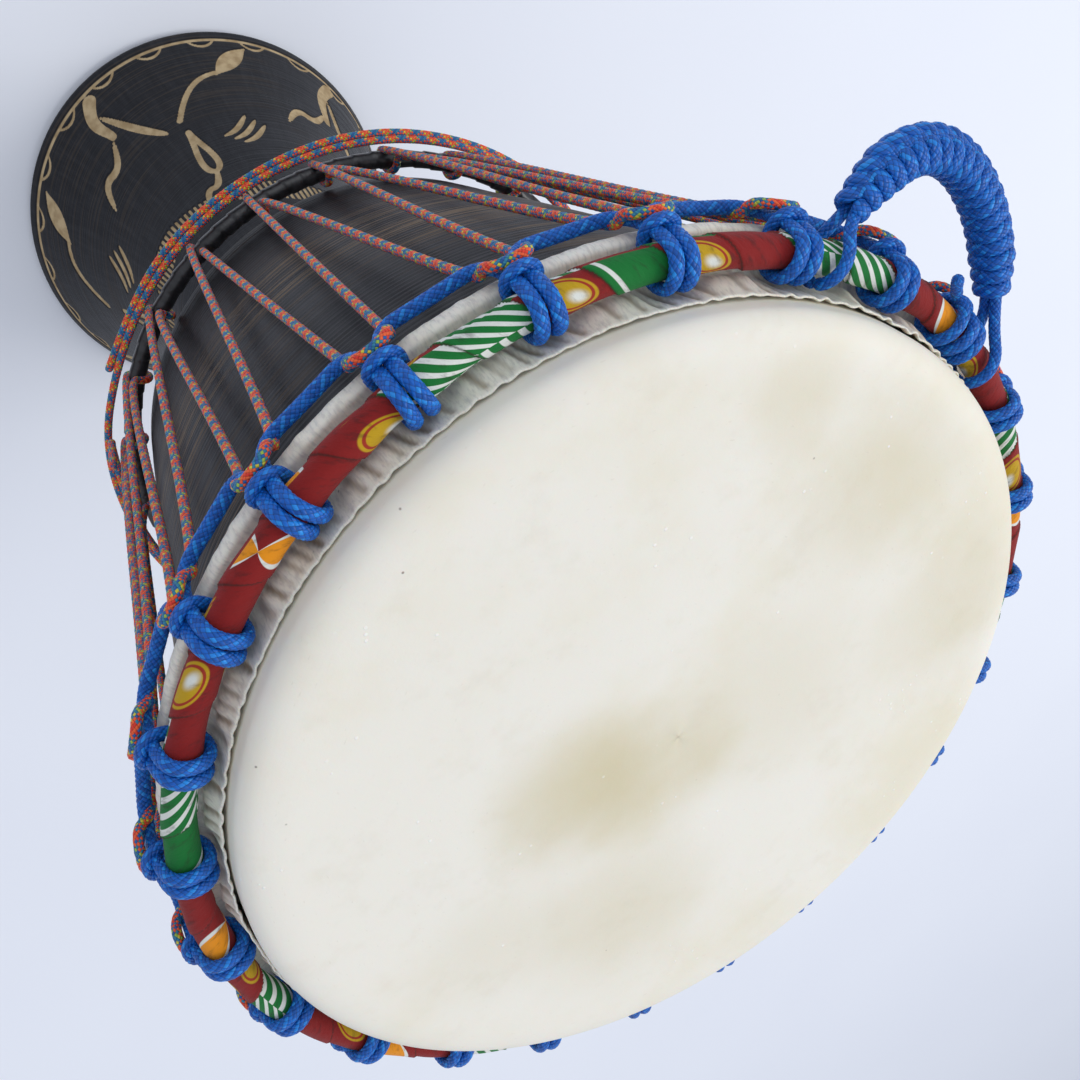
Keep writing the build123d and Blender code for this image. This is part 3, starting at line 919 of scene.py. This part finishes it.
def hitching():
    """The covering rope: a bar round the core, then a stitch along the arch's outside."""
    a = arch_half()
    plane = [(-a, EYE_EXIT, 0), *[(x, y, 0) for x, y in arch_corners()], (a, EYE_EXIT, 0)]
    line = spline_line(plane, ARCH_STEP)
    tangents = tangents_of(line, False)
    lead, trail = ((start - EYE_EXIT) / ARCH_STEP for start in WEAVE_STARTS)
    span = len(line) - 1 - lead - trail
    route = []
    for turn in range(HITCH_TURNS):
        for deep, wide, share in HITCH_ROUTE:
            at = lead + span * (turn + share) / HITCH_TURNS
            i = int(np.clip(round(at), 0, len(line) - 1))
            out = np.array([-tangents[i][1], tangents[i][0], 0])
            from_end = min(at - lead, lead + span - at) * ARCH_STEP
            snug = SNUG + (1 - SNUG) * min(max(from_end / SNUG_RUN, 0), 1)
            route.append(line[i] + out * deep * snug + np.array([0, 0, wide * snug]))
    path = np.array(spline_line(in_handle(route), ARCH_STEP))
    middle = np.array(in_handle(line))
    nearest = np.argmin(np.linalg.norm(path[:, None] - middle[None, ::2], axis=-1), axis=1) * 2
    nearest = np.clip(nearest, 0, len(middle) - 1)
    away = unit(path - middle[nearest])
    arch_out = np.array(in_handle_direction(tangents[nearest]))
    high = np.sum((path - middle[nearest]) * arch_out, axis=1)
    swell = 1 + 0.3 * np.clip((high - 5) / 3, 0, 1)
    return tube("handle_hitching_rope", path, BLUE, BLUE_PICK, 24, normals=away,
                widen=1.34, thin=0.92, swell=swell)


# ---------------------------------------------------------------- shell

def carved_strokes():
    """Branches, leaves and hatching round the foot, as (bearings, heights, half widths)."""
    s = np.linspace(0, 1, 26)
    swell = np.sin(np.pi * s) ** 0.5
    t = np.linspace(0, 2 * np.pi, 60)
    strokes = []
    for i, turn in enumerate((14, 96, 190, 276)):
        tall = 1 + 0.12 * (-1) ** i
        strokes += [
            (turn + 4 * s + 2 * np.sin(4 * s), 20 + 38 * tall * s, 5.0 - 2.4 * s),
            (turn + 4 + 19 * s, 57 + 30 * s + 6 * np.sin(2 * np.pi * s), 1.0 + 2.0 * swell),
            (turn + 1 - 14 * s, 36 + 52 * tall * s + 5 * np.sin(np.pi * s), 1.0 + 1.7 * swell),
            (turn + 32 + 13 * s, 20 + 26 * s, 0.8 + 5.6 * np.sin(np.pi * s) ** 1.3),
            (turn + 44 + 22 * s, 44 + 30 * tall * s - 8 * np.sin(np.pi * s), 1.7 + 0.4 * s),
            (turn + 66 + 5 * np.sin(t) * np.sin(t / 2) ** 2, 112 - 22 * np.cos(t),
             np.full(60, 2.0)),
            (turn + 66 + 12 * s, 134 + 26 * s + 5 * np.sin(6 * s), 1.0 + 1.6 * swell),
        ]
        for k in range(3):
            heights = 88 + 5 * k + 17 * s + 4 * np.sin(np.pi * s)
            strokes.append((turn + 42 + 12 * s - 3.2 * k, heights, 0.6 + 1.4 * swell))
    return strokes


def carve_mask(bearing, z, radius):
    """1 where the wood is cut away, 0 where it is whole, over the outside of the shell."""
    arc = np.radians(bearing) * FOOT_ARC
    mask = np.zeros_like(z + bearing)
    loops = np.clip(np.sin(2 * np.pi * arc / 34), 0, 1) ** 0.7
    border = np.minimum(np.abs(z - 13), np.abs(z - 13 - 6 * loops))
    mask = np.maximum(mask, np.where(z < 30, np.clip(1.6 - border, 0, 1), 0))
    middle = 168 + 16 * np.sin(np.radians(2 * bearing + 40))
    band = np.clip(9 + 3 * np.sin(np.radians(5 * bearing)) - np.abs(z - middle), 0, 1)
    ribs = 0.55 + 0.45 * np.clip(3 * np.sin(np.radians(bearing) * 130), -1, 1)
    mask = np.maximum(mask, band * ribs)
    for bearings, heights, half_widths in carved_strokes():
        rows = (z[:, 0] > heights.min() - 8) & (z[:, 0] < heights.max() + 8)
        for b, h, w in zip(bearings, heights, half_widths):
            away = (bearing - b + 180) % 360 - 180
            reach = np.hypot(np.radians(away) * radius[rows], z[rows] - h)
            mask[rows] = np.maximum(mask[rows], np.clip((w - reach) * 1.2 + 0.5, 0, 1))
    return mask


def shell():
    outer = spline_line([(r, 0, z) for r, z in OUTSIDE], 1.1, "BEZIER")
    crest = HEAD_RADIUS - SKIN
    top = [(crest - 0.2, 0, HEIGHT - 19), (crest - 0.2, 0, HEIGHT - SKIN - 1.2),
           (148, 0, HEIGHT - SKIN - 1.2), (146.5, 0, HEIGHT - 4), (146.5, 0, HEIGHT - 14)]
    rim = spline_line(top, 1.5)
    inner = spline_line([(146.0, 0, HEIGHT - 16)] + [(r, 0, z) for r, z in INSIDE], 5.0, "BEZIER")
    underside = [(101, 0, 18), (101, 0, 0), (112, 0, 0), (123.0, 0, 0), (OUTSIDE[0][0], 0, 5)]
    foot = spline_line(underside, 1.5)
    profile = np.vstack([outer, rim, inner, foot])
    angle = np.linspace(0, 2 * np.pi, SHELL_SEGMENTS + 1)
    r, z = np.repeat(profile[:, :1], SHELL_SEGMENTS, 1), profile[:, 2:3]
    mask = np.zeros_like(r)
    count = len(outer)
    mask[:count] = carve_mask(np.degrees(angle[None, :-1]), z[:count], r[:count])
    ripple = 0.12 * np.sin(z * 1.9 + 2 * np.sin(angle[None, :-1] * 3))
    ripple = ripple * (np.arange(len(profile)) < count)[:, None] * (z > 250)
    r = r - CARVE_DEPTH * mask + ripple
    a = angle[None, :-1]
    points = np.stack([r * np.cos(a), r * np.sin(a), np.repeat(z, SHELL_SEGMENTS, 1)], -1)
    inside = np.zeros_like(r)
    inside[count + len(rim):count + len(rim) + len(inner)] = 1
    v = np.append(profile[:, 2], profile[0, 2])
    u = np.linspace(0, 1, SHELL_SEGMENTS + 1)
    piece = grid_object("carved_shell", points, u, v, True, True, carved=mask, inside=inside)
    return finish_piece(piece, wood_material(), "drum", "stained_wood", "shell")


# ---------------------------------------------------------------- stage

def camera():
    """Above the head, looking down across it, with the picture turned over."""
    yaw, pitch, roll = CAMERA_YAW, CAMERA_PITCH, CAMERA_ROLL
    level = math.cos(pitch)
    forward = Vector((math.sin(yaw) * level, math.cos(yaw) * level, -math.sin(pitch)))
    right = Vector((math.cos(yaw), -math.sin(yaw), 0))
    up = right.cross(forward)
    x = right * math.cos(roll) + up * math.sin(roll)
    y = up * math.cos(roll) - right * math.sin(roll)
    data = bpy.data.cameras.new("camera")
    data.sensor_width = SENSOR
    data.lens = CAMERA_LENS
    made = bpy.data.objects.new("camera", data)
    bpy.context.scene.collection.objects.link(made)
    turn = Matrix((x, y, -forward)).transposed().to_4x4()
    made.matrix_world = Matrix.Translation(Vector((0, -CAMERA_BACK, CAMERA_HEIGHT)) * MM) @ turn
    bpy.context.scene.camera = made


def area_light(name, place, target, size, power, colour):
    data = bpy.data.lights.new(name, "AREA")
    data.size = size
    data.energy = power
    data.color = colour
    made = bpy.data.objects.new(name, data)
    bpy.context.scene.collection.objects.link(made)
    made.location = place
    made.rotation_euler = (Vector(target) - Vector(place)).to_track_quat("-Z", "Y").to_euler()


def floor():
    ends = (-FLOOR_HALF, FLOOR_HALF)
    points = np.array([[(x, y, 0) for x in ends] for y in ends], float)
    made = grid_object("floor", points, np.array([0.0, 1.0]), np.array([0.0, 1.0]))
    paint = Paint("floor_paper", 0.7, Specular_IOR_Level=0.3)
    paint.colour(paint.mix(paint.noise(3.0, 2.0, paint.place()),
                           (0.80, 0.83, 0.90), (0.84, 0.87, 0.93)))
    made.data.materials.append(paint.material)


def stage():
    camera()
    floor()
    world = bpy.data.worlds.new("studio")
    bpy.context.scene.world = world
    bpy.context.scene.view_settings.view_transform = "Standard"
    world.use_nodes = True
    background = world.node_tree.nodes["Background"]
    background.inputs["Color"].default_value = WORLD_COLOUR
    background.inputs["Strength"].default_value = WORLD_STRENGTH
    for light in LIGHTS:
        area_light(*light)


def build():
    blue = rope_material("blue_rope", BLUES, BLUES[3:] + BLUES[:3], BLUE_PICK, 0.42)
    lace = rope_material("lacing_rope", LACES, LACES_BACK, LACE_PICK, 0.5)
    shell()
    skin()
    wound_ring("crown_cloth", CROWN_RADIUS, CROWN_HEIGHT, CROWN_WRAPPED, CLOTH_TURNS, 0.7,
               cloth_material(), "printed_cotton", "crown_wrap", 1440, 44)
    wound_ring("waist_cloth", BOTTOM_RADIUS, BOTTOM_HEIGHT, BOTTOM_WRAPPED - 0.1, 90, 0.5,
               black_cloth_material(), "black_cloth", "bottom_ring_wrap", 1200, 28)
    line = spline_line(upper_rope_route(), 0.6, closed=True)
    centre = unit(line * (1, 1, 0)) * CROWN_RADIUS + np.array((0, 0, CROWN_HEIGHT))
    upper = tube("upper_blue_rope", line, BLUE, BLUE_PICK, 22, closed=True, normals=line - centre,
                 widen=1.18, thin=0.97)
    finish_piece(upper, blue, "drum", "blue_rope", "upper_rope")
    line = spline_line(tension_rope_route(), 1.0, closed=True)
    tension = tube("laced_rope", line, LACE, LACE_PICK, 16, closed=True, normals=outward(line))
    finish_piece(tension, lace, "drum", "lacing_rope", "tension_rope")
    line = spline_line(winding_route(), 0.8)
    winding = tube("winding_rope", line, LACE, LACE_PICK, 18, normals=outward(line))
    finish_piece(winding, lace, "drum", "lacing_rope", "waist_winding")
    tail = tube("blue_rope_end", spline_line(tail_route(), 0.5), BLUE, BLUE_PICK, 24)
    finish_piece(tail, blue, "drum", "blue_rope", "upper_rope_tail")
    lashing = tube("lashing_turn", lashing_line(), BLUE, BLUE_PICK, 24, closed=True)
    finish_piece(lashing, blue, "drum", "blue_rope", "handle_lashing")
    for number, side in ((1, 1), (2, -1)):
        line = spline_line(core_route(side), 0.6)
        strand = tube(f"core_strand_{number}", line, BLUE, BLUE_PICK, 20)
        finish_piece(strand, blue, "handle", "blue_rope", "handle_core")
    finish_piece(hitching(), blue, "handle", "blue_rope", "handle_hitching")
    steel = steel_material()
    for node in ("flesh_hoop", "crown_ring", "bottom_ring"):
        mesh = frame["nodes"][node].data
        mesh.materials.clear()
        mesh.materials.append(steel)


build()
stage()
